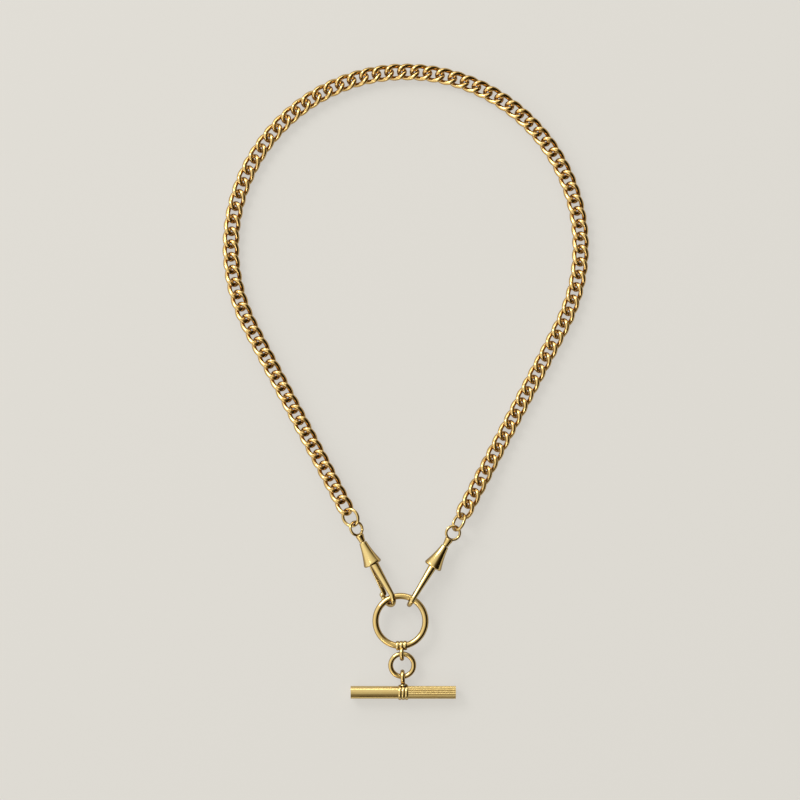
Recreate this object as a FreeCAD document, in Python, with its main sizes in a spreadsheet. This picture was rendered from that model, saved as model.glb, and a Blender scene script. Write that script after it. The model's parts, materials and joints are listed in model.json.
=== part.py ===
"""Double curb watch chain with two swivel clips, a centre ring, a drop ring and a T-bar.

The chain lies flat on a table: +Z is up, the T-bar is at the front (-Y) and the origin is under
the middle of the whole piece.  Lengths are in millimetres and angles in degrees.
"""
import FreeCAD, Part
import math
import os
import Sketcher

X_AXIS = FreeCAD.Vector(1, 0, 0)
Y_AXIS = FreeCAD.Vector(0, 1, 0)
Z_AXIS = FreeCAD.Vector(0, 0, 1)
NOWHERE = FreeCAD.Vector(0, 0, 0)

LINKS = 89                # curb links in the whole chain
PAIRS_PER_SIDE = 17       # two-link lengths that fold on each side of the top bow
LINKS_PER_PAIR = 2
LEFT, RIGHT = "left", "right"

SIZES = {
    # chain
    "loop_radius": (53.3, "bow of the chain, to the middle of the links"),
    "loop_shift": (1.6, "middle of the bow right of the middle of the centre ring"),
    "link_pitch": (3.89, "from one curb link to the next"),
    "link_width": (5.15, "curb link, across the chain"),
    "link_wire": (1.4, "wire of a curb link"),
    "link_play": (0.3, "slack between two curb links along the chain"),
    "link_twist": (-104.0, "turn of a curb link from one end to the other, left-handed"),
    "rise_length": (23.0, "end of the chain that climbs to the clips"),
    # jump rings
    "jump_radius": (2.7, "jump ring, to the middle of its wire"),
    "jump_wire": (0.95, "wire of a jump ring"),
    "swing_gap": (0.1, "clearance between two wires that hang in each other"),
    # clips
    "eye_radius": (2.1, "swivel eye, to the middle of its wire"),
    "eye_wire": (0.85, "wire of the swivel eye"),
    "eye_reach": (4.6, "narrow end of the bell to the middle of the eye"),
    "neck_root": (1.3, "radius of the neck at the eye"),
    "neck_tip": (1.0, "radius of the neck at the bell"),
    "shank_radius": (0.5, "rivet shank of the eye inside the bell"),
    "washer_radius": (0.95, "rivet washer inside the bell"),
    "washer_thick": (0.35, "thickness of the rivet washer"),
    "bell_length": (7.6, "bell along the clip"),
    "bell_small": (1.18, "outer radius of the bell at the neck"),
    "bell_large": (2.8, "outer radius of the bell at the rim"),
    "bell_flare": (32.0, "radius of the bell's hollow flank"),
    "bell_wall": (0.3, "wall of the bell along its flank"),
    "bell_rim": (0.6, "rounding of the bell's rim"),
    "bell_head": (2.3, "solid end of the bell round the shank"),
    "plug_radius": (2.2, "seat of the hook's root in the bell"),
    "plug_thick": (1.3, "thickness of the hook's root"),
    "hook_reach": (10.7, "bell's rim to the middle of the hook's bend"),
    "crown_radius": (2.6, "hook's bend, to the middle of its wire"),
    "leg_offset": (0.8, "middle of the leg at the bell from the clip's axis"),
    "leg_radius": (1.3, "leg of the hook at the bell"),
    "tip_radius": (0.85, "hook at its bend and tip"),
    "tip_length": (1.2, "straight end of the hook"),
    "bead_radius": (0.95, "rounded bead on the hook's tip"),
    "gate_width": (1.5, "gate, across the clip"),
    "gate_thick": (0.7, "gate, towards the leg"),
    "gate_short": (0.25, "middle of the gate's tongue behind the bead on the hook's tip"),
    "barrel_radius": (0.62, "gate's hinge barrel"),
    "pin_radius": (0.3, "gate's hinge pin"),
    "pin_depth": (0.6, "hinge pin behind the bell's rim"),
    "pin_offset": (1.0, "hinge pin from the clip's axis"),
    "spring_width": (0.8, "leaf spring, across the clip"),
    "spring_thick": (0.16, "leaf spring's strip"),
    # centre ring and drop
    "ring_radius": (7.58, "centre ring, to the middle of its wire"),
    "ring_wire": (1.92, "wire of the centre ring"),
    "ring_collar_length": (3.4, "beaded collar along the centre ring"),
    "ring_collar_rise": (0.49, "beads of that collar above the ring's wire"),
    "eyelet_radius": (1.65, "collar loops, to the middle of their wire"),
    "eyelet_wire": (1.35, "wire of the collar loops"),
    "drop_radius": (3.52, "drop ring, to the middle of its wire"),
    "drop_wire": (1.5, "wire of the drop ring"),
    "drop_lean": (2.2, "lean of the drop from the ring's middle line"),
    # T-bar
    "bar_length": (32.0, "T-bar from end to end"),
    "bar_radius": (1.95, "T-bar's tube"),
    "bar_wall": (0.4, "wall of the T-bar's tube"),
    "bar_seat": (0.05, "depth of the seat turned in the T-bar for its collar"),
    "bar_cap": (0.9, "thickness of the T-bar's end plugs"),
    "bar_collar_length": (3.05, "beaded collar along the T-bar"),
    "bar_collar_radius": (2.34, "beaded collar on the T-bar"),
    "stem_radius": (0.65, "stem between the T-bar's collar and its loop"),
    "stem_foot": (1.3, "foot of that stem on the collar"),
    # clearances
    "fit_gap": (0.04, "between two pieces soldered or pressed together"),
    "hinge_gap": (0.08, "between two pieces that turn in each other"),
    "floor_gap": (0.05, "hooks above the table"),
}

# Set of each clip: lean from the chain's own line, seat on the ring, roll of hook, eye and jump ring.
CLIP_SET = {
    LEFT: {"lean": -3.0, "seat": -0.5, "roll": -31.0, "eye": -35.0, "jump": 35.0},
    RIGHT: {"lean": 3.5, "seat": 1.2, "roll": 0.0, "eye": -12.0, "jump": 60.0},
}
SIDE_SIGN = {LEFT: -1.0, RIGHT: 1.0}


# ---------------------------------------------------------------------------------------- sizes
def make_sheet(doc):
    """Write the driving sizes to the spreadsheet and return their values."""
    sheet = doc.addObject("Spreadsheet::Sheet", "Sizes")
    for row, (word, (value, note)) in enumerate(SIZES.items(), start=1):
        sheet.set("A%d" % row, word)
        sheet.set("B%d" % row, str(value))
        sheet.set("C%d" % row, note)
        sheet.setAlias("B%d" % row, word)
    doc.recompute()
    return {word: float(sheet.get(word)) for word in SIZES}


# --------------------------------------------------------------------------------------- layout
def heading_placement(point, heading, roll=0.0):
    """Placement whose X axis points along a heading in the table plane and rolls about itself."""
    turn = FreeCAD.Rotation(Z_AXIS, heading)
    return FreeCAD.Placement(point, turn.multiply(FreeCAD.Rotation(X_AXIS, roll)))


def clip_level(size):
    """Height of the clips' axes and of the centre ring above the table."""
    hook = size["crown_radius"] + size["tip_radius"]
    return max(hook, size["bell_large"]) + size["floor_gap"]


def link_half(size):
    """Half length of a curb link, to the middle of its wire."""
    return (size["link_pitch"] + size["link_wire"] + size["link_play"]) / 2


def link_thickness(size):
    """Height of a twisted curb link that lies on the table."""
    rise = max(station[0].z for station in link_stations(size))
    return 2 * rise + size["link_wire"]


def ring_seat(size):
    """Distance from the narrow end of a bell to the ring's wire in the hook's bend."""
    room = size["crown_radius"] - size["tip_radius"] - size["ring_wire"] / 2 - size["swing_gap"]
    return size["bell_length"] + size["hook_reach"] + room


def clip_axis(size, side, half_angle):
    """Where the ring's wire sits in a hook, and the direction from there to the clip's eye."""
    sign = SIDE_SIGN[side]
    seat = math.radians(half_angle + CLIP_SET[side]["seat"])
    lean = math.radians(half_angle + CLIP_SET[side]["lean"])
    level = clip_level(size)
    contact = FreeCAD.Vector(sign * math.sin(seat), math.cos(seat), 0) * size["ring_radius"]
    contact.z = level
    return contact, FreeCAD.Vector(sign * math.sin(lean), math.cos(lean), 0)


def eye_centre(size, side, half_angle):
    """Middle of a clip's swivel eye."""
    contact, away = clip_axis(size, side, half_angle)
    return contact + away * (ring_seat(size) + size["eye_reach"])


def end_reach(size):
    """Distances last link to jump ring, and jump ring to eye, when they hang taut."""
    to_jump = link_half(size) + size["jump_radius"]
    to_jump -= (size["link_wire"] + size["jump_wire"]) / 2 + size["swing_gap"]
    to_eye = size["jump_radius"] + size["eye_radius"]
    to_eye -= (size["jump_wire"] + size["eye_wire"]) / 2 + size["swing_gap"]
    return to_jump, to_eye


def tangent(size, side, rise):
    """Straight run of one side: its length from the eye and the angle where it joins the bow."""
    radius = size["loop_radius"]
    half_angle = math.degrees(math.asin(radius / rise))
    eye = eye_centre(size, side, half_angle)
    dx, dy = eye.x - size["loop_shift"], eye.y - rise
    far = math.hypot(dx, dy)
    run = math.sqrt(far ** 2 - radius ** 2)
    below = math.atan2(SIDE_SIGN[side] * dx, -dy)
    return eye, run, math.pi - math.acos(radius / far) - below


def chain_span(size, rise):
    """Length of the chain's middle line between its two last links."""
    slack = 2 * sum(end_reach(size))
    total = -slack
    for side in (LEFT, RIGHT):
        _, run, angle = tangent(size, side, rise)
        total += run + size["loop_radius"] * angle
    return total


def bow_rise(size):
    """Height of the bow's middle above the ring that makes the links fit the loop exactly."""
    wanted = size["link_pitch"] * (LINKS - 1)
    low, high = size["loop_radius"] * 1.001, size["loop_radius"] * 8
    for _ in range(60):
        middle = (low + high) / 2
        if chain_span(size, middle) < wanted:
            low = middle
        else:
            high = middle
    return (low + high) / 2


class Route:
    """Middle line of the chain: a straight run, the bow and a straight run."""

    def __init__(self, size):
        self.size = size
        self.rise = bow_rise(size)
        self.half_angle = math.degrees(math.asin(size["loop_radius"] / self.rise))
        self.eye, self.run, self.angle = {}, {}, {}
        for side in (LEFT, RIGHT):
            self.eye[side], self.run[side], self.angle[side] = tangent(size, side, self.rise)
        self.span = chain_span(size, self.rise)
        self.low = link_thickness(size) / 2
        self.high = clip_level(size)

    def level(self, along):
        """Height of the chain's middle line."""
        inward = min(along, self.span - along)
        share = min(max(1 - inward / self.size["rise_length"], 0), 1)
        return self.low + (self.high - self.low) * (1 - math.cos(math.pi * share)) / 2

    def point(self, along):
        """Point of the middle line at a distance from the left clip's last link."""
        slack = sum(end_reach(self.size))
        radius = self.size["loop_radius"]
        left_run = self.run[LEFT] - slack
        bow = radius * (self.angle[LEFT] + self.angle[RIGHT])
        if along <= left_run:
            side, turn, rest = LEFT, -self.angle[LEFT], along - left_run
        elif along >= left_run + bow:
            side, turn, rest = RIGHT, self.angle[RIGHT], along - left_run - bow
        else:
            side, turn, rest = None, (along - left_run) / radius - self.angle[LEFT], 0.0
        x = self.size["loop_shift"] + radius * math.sin(turn) + rest * math.cos(turn)
        y = self.rise + radius * math.cos(turn) - rest * math.sin(turn)
        return FreeCAD.Vector(x, y, self.level(along))

    def contact(self, index):
        """Pivot between link index-1 and link index."""
        return self.point((index - 0.5) * self.size["link_pitch"])

    def link_placement(self, index):
        """Place of one curb link between its two pivots."""
        start, end = self.contact(index), self.contact(index + 1)
        return line_placement((start + end) / 2, end - start)


def line_placement(point, direction):
    """Placement whose X axis follows a direction and whose Y axis stays in the table plane."""
    across = Z_AXIS.cross(direction)
    return FreeCAD.Placement(point, FreeCAD.Rotation(direction, across, direction.cross(across), "XYZ"))


def clip_placement(size, route, side):
    """Place of a clip: origin at the bell's narrow end, X axis towards the hook."""
    contact, away = clip_axis(size, side, route.half_angle)
    heading = math.degrees(math.atan2(-away.y, -away.x))
    roll = CLIP_SET[side]["roll"]
    return heading_placement(contact + away * ring_seat(size), heading, roll)


def jump_points(size, route, side):
    """Middle of a jump ring, its pivot to the chain and its pivot to the eye."""
    to_jump, to_eye = end_reach(size)
    last = route.contact(0 if side == LEFT else LINKS)
    before = route.contact(1 if side == LEFT else LINKS - 1)
    last_link = (last + before) / 2
    line = (route.eye[side] - last_link).normalize()
    middle = route.eye[side] - line * to_eye
    chain_gap = (size["link_wire"] + size["jump_wire"]) / 2 + size["swing_gap"]
    eye_gap = (size["jump_wire"] + size["eye_wire"]) / 2 + size["swing_gap"]
    chain_pivot = middle - line * (size["jump_radius"] - chain_gap / 2)
    eye_pivot = middle + line * (size["jump_radius"] - eye_gap / 2)
    return middle, chain_pivot, eye_pivot, line


def drop_points(size):
    """Middles of the collar, its loop, the drop ring, the T-bar's loop and the T-bar."""
    high, low = clip_level(size), size["bar_collar_radius"]
    lean = math.radians(size["drop_lean"])
    down = FreeCAD.Vector(math.sin(lean), -math.cos(lean), 0)
    hang = (size["eyelet_wire"] + size["drop_wire"]) / 2 + size["swing_gap"]
    collar = size["ring_radius"]
    eyelet = collar + size["ring_wire"] / 2 + size["ring_collar_rise"] + size["eyelet_radius"] * 0.5
    upper = eyelet + size["eyelet_radius"] - hang
    drop = upper + size["drop_radius"]
    lower = drop + size["drop_radius"]
    bar_eyelet = lower - hang + size["eyelet_radius"]
    stem = size["eyelet_radius"] + size["eyelet_wire"] / 2
    bar = bar_eyelet + stem + size["bar_collar_radius"]
    heights = {"collar": high, "eyelet": high, "upper": high, "drop": (high + low) / 2,
               "lower": low, "bar_eyelet": low, "bar": low}
    reaches = {"collar": collar, "eyelet": eyelet, "upper": upper, "drop": drop,
               "lower": lower, "bar_eyelet": bar_eyelet, "bar": bar}
    points = {}
    for word, reach in reaches.items():
        points[word] = down * reach + Z_AXIS * heights[word]
    return points


# ----------------------------------------------------------------------------- building helpers
def bind(item, formulas):
    """Tie properties of an object to the spreadsheet."""
    for name, formula in formulas.items():
        item.setExpression(name, formula)
    return item


def primitive(doc, kind, name, formulas, placement=None):
    """Part primitive with its sizes tied to the spreadsheet."""
    item = bind(doc.addObject("Part::" + kind, name), formulas)
    if placement:
        item.Placement = placement
    return item


def fuse(doc, name, pieces):
    """Union of several objects."""
    item = doc.addObject("Part::MultiFuse", name)
    item.Shapes = pieces
    return item


def cut(doc, name, base, tool):
    """One object less another."""
    item = doc.addObject("Part::Cut", name)
    item.Base = base
    item.Tool = tool
    return item


def along_x(x=0.0, y=0.0, z=0.0):
    """Placement that lays a primitive's own Z axis along X."""
    return FreeCAD.Placement(FreeCAD.Vector(x, y, z), FreeCAD.Rotation(Y_AXIS, 90))


def along_y(x=0.0, y=0.0, z=0.0):
    """Placement that lays a primitive's own Z axis along Y."""
    return FreeCAD.Placement(FreeCAD.Vector(x, y, z), FreeCAD.Rotation(X_AXIS, -90))


def origin_plane(body, role):
    """One of a body's own origin planes."""
    return [feature for feature in body.Origin.OriginFeatures if feature.Role == role][0]


def arc_edge(start, end, radius, bulge):
    """Sketch arc from start to end; bulge 1 swells to the left of the way, -1 to the right."""
    middle = (start + end) / 2
    way = end - start
    left = FreeCAD.Vector(-way.y, way.x, 0).normalize()
    rise = math.sqrt(max(radius ** 2 - (way.Length / 2) ** 2, 0))
    centre = middle - left * bulge * rise
    first, last = (end, start) if bulge > 0 else (start, end)
    angles = [math.atan2(point.y - centre.y, point.x - centre.x) for point in (first, last)]
    if angles[1] < angles[0]:
        angles[1] += 2 * math.pi
    circle = Part.Circle(centre, Z_AXIS, radius)
    return Part.ArcOfCircle(circle, angles[0], angles[1])


def corner_values(doc, outline):
    """Values of an outline's formulas, worked out in a spreadsheet of their own."""
    sheet = doc.getObject("Corners") or doc.addObject("Spreadsheet::Sheet", "Corners")
    cells = []
    for row, corner in enumerate(outline, start=1):
        cells.append(["%s%d" % (column, row) for column, _ in zip("ABC", corner[:3])])
        for cell, formula in zip(cells[-1], corner):
            sheet.set(cell, "=" + formula)
    sheet.recompute()
    return [[float(sheet.get(cell)) for cell in row] for row in cells]


def outline_sketch(doc, body, name, outline, role="XY_Plane"):
    """Closed sketch through corners (x, y[, radius, bulge]) whose sizes are spreadsheet formulas."""
    sketch = body.newObject("Sketcher::SketchObject", name)
    sketch.AttachmentSupport = (origin_plane(body, role), "")
    sketch.MapMode = "FlatFace"
    values = corner_values(doc, outline)
    points = [FreeCAD.Vector(value[0], value[1], 0) for value in values]
    starts, ends = [], []
    count = len(outline)
    for index, corner in enumerate(outline):
        start, end = points[index], points[(index + 1) % count]
        if len(corner) > 2:
            sketch.addGeometry(arc_edge(start, end, values[index][2], corner[3]), False)
            starts.append(2 if corner[3] > 0 else 1)
        else:
            sketch.addGeometry(Part.LineSegment(start, end), False)
            starts.append(1)
        ends.append(3 - starts[-1])
    for index in range(count):
        after = (index + 1) % count
        sketch.addConstraint(Sketcher.Constraint("Coincident", index, ends[index], after, starts[after]))
    for index, corner in enumerate(outline):
        for kind, formula, value, axis in (("DistanceX", corner[0], points[index].x, -2),
                                           ("DistanceY", corner[1], points[index].y, -1)):
            if formula == "0":
                sketch.addConstraint(Sketcher.Constraint("PointOnObject", index, starts[index], axis))
            else:
                place = sketch.addConstraint(
                    Sketcher.Constraint(kind, -1, 1, index, starts[index], value))
                sketch.setExpression("Constraints[%d]" % place, formula)
        if len(corner) > 2:
            place = sketch.addConstraint(Sketcher.Constraint("Radius", index, values[index][2]))
            sketch.setExpression("Constraints[%d]" % place, corner[2])
    return sketch


def turned_body(doc, name, outline):
    """Body turned about its own X axis from an outline in the XY plane."""
    body = doc.addObject("PartDesign::Body", name)
    sketch = outline_sketch(doc, body, name + "_outline", outline)
    turned = body.newObject("PartDesign::Revolution", name + "_turned")
    turned.Profile = sketch
    turned.ReferenceAxis = (sketch, ["H_Axis"])
    turned.Angle = 360
    return body


def beaded_collar(doc, name, length, bore, radius):
    """Sleeve of three turned beads about the X axis, from formulas for its sizes."""
    beads = 3
    swell = "(%s) * 0.22" % length
    half = "(%s) / %d" % (length, 2 * beads)
    groove = "(%s) - (%s - sqrt((%s)^2 - (%s)^2))" % (radius, swell, swell, half)
    outline = [("0", bore)]
    for bead in range(beads):
        outline.append(("(%s) * %d / %d" % (length, bead, beads) if bead else "0", groove, swell, 1))
    outline.append((length, groove))
    outline.append((length, bore))
    return turned_body(doc, name, outline)


# ----------------------------------------------------------------------------------- curb links
def link_stations(size):
    """Points and directions round a curb link: an oval of wire twisted about its long axis."""
    reach = link_half(size)
    half_width = (size["link_width"] - size["link_wire"]) / 2
    flat = reach - half_width
    turn = math.radians(size["link_twist"]) / 2 / reach
    stations = []
    for angle in (0, 50, 90, 130, 180, 230, 270, 310):
        side, swing = math.cos(math.radians(angle)), math.sin(math.radians(angle))
        if angle in (90, 270):
            x, y, dx, dy = 0.0, half_width * swing, -swing, 0.0
        else:
            x, y = math.copysign(flat, side) + half_width * side, half_width * swing
            dx, dy = -swing, side
        c, s = math.cos(turn * x), math.sin(turn * x)
        point = FreeCAD.Vector(x, y * c, y * s)
        way = FreeCAD.Vector(dx, dy * c - y * turn * s * dx, dy * s + y * turn * c * dx)
        stations.append((point, way.normalize()))
    return stations


def smooth_arcs(stations):
    """Two tangent arcs between each station and the next, as (start, corner, end)."""
    arcs = []
    for index, (start, way) in enumerate(stations):
        end, next_way = stations[(index + 1) % len(stations)]
        span, both, bend = end - start, way + next_way, 1 - way.dot(next_way)
        root = math.sqrt(span.dot(both) ** 2 + 2 * bend * span.dot(span))
        reach = (root - span.dot(both)) / (2 * bend)
        joint = (start + end + (way - next_way) * reach) / 2
        arcs.append((start, start + way * reach, joint))
        arcs.append((joint, end - next_way * reach, end))
    return arcs


def wire_length(arc, radius):
    """Solid wire along one arc, turned about the arc's own centre."""
    start, corner, end = arc
    chord, way = end - start, (corner - start).normalize()
    half_turn = way.getAngle(chord)
    inward = (chord - way * chord.dot(way)).normalize()
    centre = start + inward * (chord.Length / 2 / math.sin(half_turn))
    disc = Part.Face(Part.Wire(Part.makeCircle(radius, start, way)))
    return disc.revolve(centre, way.cross(inward), math.degrees(2 * half_turn))


def curb_link(size):
    """One closed curb link, its middle at the origin and its long axis along X."""
    lengths = [wire_length(arc, size["link_wire"] / 2) for arc in smooth_arcs(link_stations(size))]
    return lengths[0].multiFuse(lengths[1:]).Solids[0]


def chain_run(doc, name, size, route, link, first, count):
    """Several linked curb links as one node, placed at the pivot of the first."""
    home = line_placement(route.contact(first), route.contact(first + 1) - route.contact(first))
    solids = []
    for index in range(first, first + count):
        solid = link.copy()
        solid.Placement = home.inverse().multiply(route.link_placement(index))
        solids.append(solid)
    item = doc.addObject("Part::Feature", name)
    item.Shape = Part.makeCompound(solids)
    item.Placement = home
    return item


def pair_name(side, number):
    """Node name of a two-link length, numbered from the top bow down."""
    return "chain_%s_%02d" % (side, number)


def pair_first(side, number):
    """Index of the first link of a two-link length."""
    if side == LEFT:
        return (PAIRS_PER_SIDE - number) * LINKS_PER_PAIR
    return LINKS - (PAIRS_PER_SIDE - number + 1) * LINKS_PER_PAIR


def make_chain(doc, size, route):
    """The top bow and the folding two-link lengths of both sides."""
    link = curb_link(size)
    reserved = PAIRS_PER_SIDE * LINKS_PER_PAIR
    nodes = [chain_run(doc, "chain_top", size, route, link, reserved, LINKS - 2 * reserved)]
    for side in (LEFT, RIGHT):
        for number in range(1, PAIRS_PER_SIDE + 1):
            name = pair_name(side, number)
            first = pair_first(side, number)
            nodes.append(chain_run(doc, name, size, route, link, first, LINKS_PER_PAIR))
    return nodes


def make_jump_rings(doc, size, route):
    """Plain rings that join the chain to the swivel eyes."""
    nodes = []
    for side in (LEFT, RIGHT):
        middle, _, _, line = jump_points(size, route, side)
        flat = line_placement(middle, line)
        turn = FreeCAD.Placement(NOWHERE, FreeCAD.Rotation(X_AXIS, CLIP_SET[side]["jump"]))
        formulas = {"Radius1": "Sizes.jump_radius", "Radius2": "Sizes.jump_wire / 2"}
        nodes.append(primitive(doc, "Torus", "jump_ring_" + side, formulas, flat.multiply(turn)))
    return nodes


# ---------------------------------------------------------------------------------------- clips
def make_bell(doc, name):
    """Hollow flared bell with a rounded rim and a bore for the swivel shank."""
    bore = "Sizes.shank_radius + Sizes.hinge_gap"
    seat = "Sizes.plug_radius"
    cavity = "Sizes.bell_length - Sizes.plug_thick - Sizes.bell_wall / 2"
    return turned_body(doc, name, [
        ("0", bore),
        ("0", "Sizes.bell_small", "Sizes.bell_flare", -1),
        ("Sizes.bell_length - Sizes.bell_rim", "Sizes.bell_large", "Sizes.bell_rim", 1),
        ("Sizes.bell_length", "Sizes.bell_large - Sizes.bell_rim * 0.6"),
        ("Sizes.bell_length", seat),
        (cavity, seat),
        (cavity, "Sizes.plug_radius - 0.25"),
        ("Sizes.bell_head", "Sizes.washer_radius + Sizes.hinge_gap"),
        ("Sizes.bell_head", bore),
    ])


def make_eye(doc, name, size, side):
    """Swivel eye: a wire ring, a tapered neck and the rivet shank that turns in the bell."""
    roll = FreeCAD.Rotation(X_AXIS, CLIP_SET[side]["eye"] - CLIP_SET[side]["roll"])
    root = size["eye_reach"] - size["eye_radius"]
    ring = primitive(doc, "Torus", name + "_ring",
                     {"Radius1": "Sizes.eye_radius", "Radius2": "Sizes.eye_wire / 2"},
                     FreeCAD.Placement(FreeCAD.Vector(-size["eye_reach"], 0, 0), roll))
    neck = primitive(doc, "Cone", name + "_neck",
                     {"Radius1": "Sizes.neck_root", "Radius2": "Sizes.neck_tip",
                      "Height": "Sizes.eye_reach - Sizes.eye_radius - Sizes.hinge_gap"},
                     along_x(-root))
    shank = primitive(doc, "Cylinder", name + "_shank",
                      {"Radius": "Sizes.shank_radius",
                       "Height": "Sizes.bell_head + Sizes.hinge_gap * 3 + Sizes.washer_thick"},
                      along_x(-size["hinge_gap"] * 2))
    return fuse(doc, name, [ring, neck, shank])


def make_washer(doc, name):
    """Rivet washer that keeps the shank in the bell."""
    inner = "Sizes.shank_radius + Sizes.fit_gap / 2"
    start = "Sizes.bell_head + Sizes.hinge_gap"
    end = start + " + Sizes.washer_thick"
    return turned_body(doc, name, [
        (start, inner), (start, "Sizes.washer_radius"), (end, "Sizes.washer_radius"), (end, inner)])


def gate_level(size):
    """Middle of the closed gate, just inside the bead on the hook's tip."""
    return -(size["crown_radius"] - size["bead_radius"] - size["hinge_gap"] - size["gate_thick"] / 2)


def make_hook(doc, name, size):
    """Hook in the clip's XZ plane: root disc, tapered leg, round bend and beaded tip."""
    rim, bend = size["bell_length"], size["bell_length"] + size["hook_reach"]
    root = rim - size["plug_thick"]
    start = rim - size["plug_thick"] / 2
    slope = leg_slope(size, bend - start)
    disc = primitive(doc, "Cylinder", name + "_root",
                     {"Radius": "Sizes.plug_radius - Sizes.fit_gap",
                      "Height": "Sizes.plug_thick - Sizes.fit_gap"}, along_x(root))
    leg_line = FreeCAD.Placement(FreeCAD.Vector(start, 0, size["leg_offset"]),
                                 FreeCAD.Rotation(Y_AXIS, 90 - slope))
    leg = primitive(doc, "Cone", name + "_leg",
                    {"Radius1": "Sizes.leg_radius", "Radius2": "Sizes.tip_radius",
                     "Height": "sqrt((Sizes.hook_reach + Sizes.plug_thick / 2)^2"
                               " + Sizes.leg_offset^2 - Sizes.crown_radius^2)"}, leg_line)
    standing = FreeCAD.Rotation(Z_AXIS, X_AXIS, Y_AXIS, "ZXY")
    crown = primitive(doc, "Torus", name + "_bend",
                      {"Radius1": "Sizes.crown_radius", "Radius2": "Sizes.tip_radius"},
                      FreeCAD.Placement(FreeCAD.Vector(bend, 0, 0),
                                        FreeCAD.Rotation(Y_AXIS, -slope).multiply(standing)))
    crown.Angle3 = 180 + slope
    low_end = FreeCAD.Vector(bend - size["tip_length"], 0, -size["crown_radius"])
    tip = primitive(doc, "Cylinder", name + "_tip",
                    {"Radius": "Sizes.tip_radius", "Height": "Sizes.tip_length"},
                    along_x(*low_end))
    bead = primitive(doc, "Sphere", name + "_bead", {"Radius": "Sizes.bead_radius"},
                     along_x(*low_end))
    solid = fuse(doc, name + "_solid", [disc, leg, crown, tip, bead])
    slot_half = size["gate_width"] / 2 + size["hinge_gap"]
    slot = primitive(doc, "Box", name + "_slot",
                     {"Length": "Sizes.plug_thick * 2",
                      "Width": "Sizes.gate_width + 2 * Sizes.hinge_gap",
                      "Height": "Sizes.plug_radius"},
                     FreeCAD.Placement(
                         FreeCAD.Vector(root - size["plug_thick"] / 2, -slot_half,
                                        -size["plug_radius"] - slot_top(size)),
                         FreeCAD.Rotation()))
    hole = primitive(doc, "Cylinder", name + "_pin_hole",
                     {"Radius": "Sizes.pin_radius + Sizes.fit_gap / 2",
                      "Height": "Sizes.plug_radius * 2"},
                     along_y(rim - size["pin_depth"], -size["plug_radius"], -size["pin_offset"]))
    tools = fuse(doc, name + "_openings", [slot, hole])
    return cut(doc, name, solid, tools)


def leg_slope(size, reach):
    """Slope of the leg's line from its root to where it meets the bend smoothly."""
    far = math.hypot(reach, size["leg_offset"])
    below = math.atan2(size["leg_offset"], reach)
    return math.degrees(math.asin(size["crown_radius"] / far) - below)


def slot_top(size):
    """Upper edge of the gate's slot below the clip's axis."""
    return size["pin_offset"] - size["barrel_radius"] - size["hinge_gap"]


def make_gate(doc, name, size):
    """Sprung gate: a flat bar with a hinge barrel at the bell and a tongue inside the hook's tip."""
    pivot = FreeCAD.Vector(size["bell_length"] - size["pin_depth"], 0, -size["pin_offset"])
    end = size["bell_length"] + size["hook_reach"] - size["tip_length"] - size["gate_short"]
    half_width = size["gate_width"] / 2
    bar = primitive(doc, "Box", name + "_bar",
                    {"Width": "Sizes.gate_width", "Height": "Sizes.gate_thick",
                     "Length": "Sizes.hook_reach - Sizes.tip_length - Sizes.gate_short"
                               " + Sizes.pin_depth"},
                    FreeCAD.Placement(
                        FreeCAD.Vector(pivot.x, -half_width,
                                       gate_level(size) - size["gate_thick"] / 2),
                        FreeCAD.Rotation()))
    barrel = primitive(doc, "Cylinder", name + "_barrel",
                       {"Radius": "Sizes.barrel_radius", "Height": "Sizes.gate_width"},
                       along_y(pivot.x, -half_width, pivot.z))
    tongue = primitive(doc, "Cylinder", name + "_tongue",
                       {"Radius": "Sizes.gate_width / 2", "Height": "Sizes.gate_thick"},
                       FreeCAD.Placement(
                           FreeCAD.Vector(end, 0, gate_level(size) - size["gate_thick"] / 2),
                           FreeCAD.Rotation()))
    solid = fuse(doc, name + "_solid", [bar, barrel, tongue])
    hole = primitive(doc, "Cylinder", name + "_pin_hole",
                     {"Radius": "Sizes.pin_radius + Sizes.fit_gap",
                      "Height": "Sizes.gate_width * 2"},
                     along_y(pivot.x, -size["gate_width"], pivot.z))
    return cut(doc, name, solid, hole)


def make_gate_pin(doc, name, size):
    """Hinge pin through the hook's root and the gate's barrel."""
    half = pin_half(size)
    pin = primitive(doc, "Cylinder", name, {"Radius": "Sizes.pin_radius"},
                    along_y(size["bell_length"] - size["pin_depth"], -half, -size["pin_offset"]))
    pin.Height = 2 * half
    return pin


def pin_half(size):
    """Half length of a hinge pin that ends inside the bell's seat."""
    reach = size["plug_radius"] - size["fit_gap"]
    return math.sqrt(reach ** 2 - (size["pin_offset"] + size["pin_radius"]) ** 2)


def make_gate_spring(doc, name, size):
    """Folded leaf spring in the bell, behind the gate's barrel."""
    open_end = "Sizes.bell_length - Sizes.plug_thick - Sizes.hinge_gap * 2"
    fold = "Sizes.bell_head + Sizes.washer_thick + Sizes.hinge_gap * 6"
    spread = "Sizes.pin_offset"
    middle = "Sizes.plug_radius"
    strip = "Sizes.spring_thick"
    body = doc.addObject("PartDesign::Body", name)
    outline = outline_sketch(doc, body, name + "_outline", [
        (open_end, "%s + %s" % (middle, spread)),
        (fold, "%s + %s / 2" % (middle, strip)),
        (fold, "%s - %s / 2" % (middle, strip)),
        (open_end, "%s - %s" % (middle, spread)),
        (open_end, "%s - %s + %s" % (middle, spread, strip)),
        ("%s + %s * 3" % (fold, strip), middle),
        (open_end, "%s + %s - %s" % (middle, spread, strip)),
    ])
    pad = body.newObject("PartDesign::Pad", name + "_strip")
    pad.Profile = outline
    bind(pad, {"Length": "Sizes.spring_width"})
    pad.Midplane = True
    return body


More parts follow.
